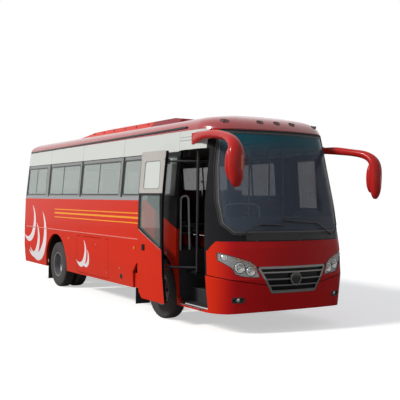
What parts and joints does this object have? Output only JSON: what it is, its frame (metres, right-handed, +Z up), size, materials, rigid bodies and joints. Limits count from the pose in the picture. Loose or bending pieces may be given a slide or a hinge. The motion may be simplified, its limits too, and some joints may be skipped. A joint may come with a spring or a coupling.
{
  "type": "front-engined coach",
  "caption": "Mid-size coach with domed roof, bowed windscreen, horn-shaped mirrors, plug door shown open, twin rear wheels, seats, roof cooling unit.",
  "frame": {"origin": "on the ground under the middle of the overall length and width", "axes": "+Z up, forward is -Y, +X towards the side without the entry door"},
  "size_m": [3.167, 9.7378, 3.3867],
  "materials": {
    "red": "gloss",
    "black_trim": "satin",
    "glass": "polished",
    "tyre": "matt",
    "steel": "satin",
    "chassis": "matt",
    "lamp": "clear",
    "amber": "gloss",
    "tail_red": "gloss",
    "floor": "matt",
    "seat": "woven",
    "interior": "satin",
    "chrome": "polished",
    "rubber": "matt",
    "iron": "rough",
    "mirror": "polished"
  },
  "bodies": {
    "body": {"chassis_frame": "chassis", "dashboard": "floor", "door_post_brackets": "black_trim", "drive_shaft": "iron", "engine": "iron", "engine_cover": "floor", "exhaust": "iron", "floor": "floor", "fog_lamps": "lamp", "front_axle": "iron", "front_bumper": "red", "front_mask": "red", "fuel_tank": "chassis", "grille": "chrome", "gutters": "black_trim", "handrails": "interior", "headlamps": "lamp", "lamp_housings": "chrome", "leaf_springs": "iron", "luggage_bays": "chassis", "luggage_racks": "interior", "marker_lamps": "amber", "mirror_glass": "mirror", "mirrors": "red", "mud_flaps": "rubber", "rear_axle": "iron", "rear_bumper": "red", "rear_panel": "red", "rear_window": "glass", "roof": "red", "roof_cooling_unit": "red", "seat_backs": "seat", "seat_cushions": "seat", "seat_frames": "steel", "side_glass": "glass", "side_wall_left": "red", "side_wall_right": "red", "steering_wheel": "black_trim", "step_well": "floor", "tail_lamps": "tail_red", "wheel_houses": "floor", "window_frames": "black_trim", "windscreen": "glass", "wipers": "black_trim"},
    "door_arm": {"door_arm": "black_trim"},
    "entry_door": {"entry_door": "red", "entry_door_glass": "glass"},
    "luggage_door_left": {"luggage_door_left": "red"},
    "luggage_door_right": {"luggage_door_right": "red"},
    "boot_lid": {"boot_lid": "red"},
    "steering_knuckle_left": {"knuckle_left": "iron"},
    "front_wheel_left": {"front_wheel_left": "steel", "front_tyre_left": "tyre"},
    "rear_wheels_left": {"rear_wheels_left": "steel", "rear_tyres_left": "tyre"},
    "steering_knuckle_right": {"knuckle_right": "iron"},
    "front_wheel_right": {"front_wheel_right": "steel", "front_tyre_right": "tyre"},
    "rear_wheels_right": {"rear_wheels_right": "steel", "rear_tyres_right": "tyre"}
  },
  "joints": [
    {"name": "steering_left", "type": "hinge", "parent": "body", "child": "steering_knuckle_left", "pos_m": [-0.925, -2.37, 0.487], "axis": [0, 0, 1], "range_deg": [-32, 32]},
    {"name": "front_wheel_spin_left", "type": "hinge", "parent": "steering_knuckle_left", "child": "front_wheel_left", "pos_m": [-1.068, -2.37, 0.487], "axis": [1, 0, 0], "continuous": true},
    {"name": "rear_wheels_spin_left", "type": "hinge", "parent": "body", "child": "rear_wheels_left", "pos_m": [-1.068, 2.43, 0.487], "axis": [1, 0, 0], "continuous": true},
    {"name": "steering_right", "type": "hinge", "parent": "body", "child": "steering_knuckle_right", "pos_m": [0.925, -2.37, 0.487], "axis": [0, 0, 1], "range_deg": [-32, 32]},
    {"name": "front_wheel_spin_right", "type": "hinge", "parent": "steering_knuckle_right", "child": "front_wheel_right", "pos_m": [1.068, -2.37, 0.487], "axis": [1, 0, 0], "continuous": true},
    {"name": "rear_wheels_spin_right", "type": "hinge", "parent": "body", "child": "rear_wheels_right", "pos_m": [1.068, 2.43, 0.487], "axis": [1, 0, 0], "continuous": true},
    {"name": "door_arm_swing", "type": "hinge", "parent": "body", "child": "door_arm", "pos_m": [-1.005, -3.21, 1.8], "axis": [0, 0, 1], "range_deg": [0, 123.31]},
    {"name": "door_leaf_turn", "type": "hinge", "parent": "door_arm", "child": "entry_door", "pos_m": [-1.36, -2.91092, 1.8], "axis": [0, 0, 1], "range_deg": [-123.31, 0]},
    {"name": "luggage_door_left_hinge", "type": "hinge", "parent": "body", "child": "luggage_door_left", "pos_m": [-1.24, 0.405, 1.186], "axis": [0, 1, 0], "range_deg": [0, 85]},
    {"name": "luggage_door_right_hinge", "type": "hinge", "parent": "body", "child": "luggage_door_right", "pos_m": [1.24, 0.405, 1.186], "axis": [0, -1, 0], "range_deg": [0, 85]},
    {"name": "boot_lid_hinge", "type": "hinge", "parent": "body", "child": "boot_lid", "pos_m": [0, 4.861, 1.556], "axis": [1, 0, 0], "range_deg": [0, 80]}
  ],
  "couplings": [
    {"joint": "steering_right", "follows": "steering_left", "ratio": 1},
    {"joint": "door_leaf_turn", "follows": "door_arm_swing", "ratio": -1}
  ]
}
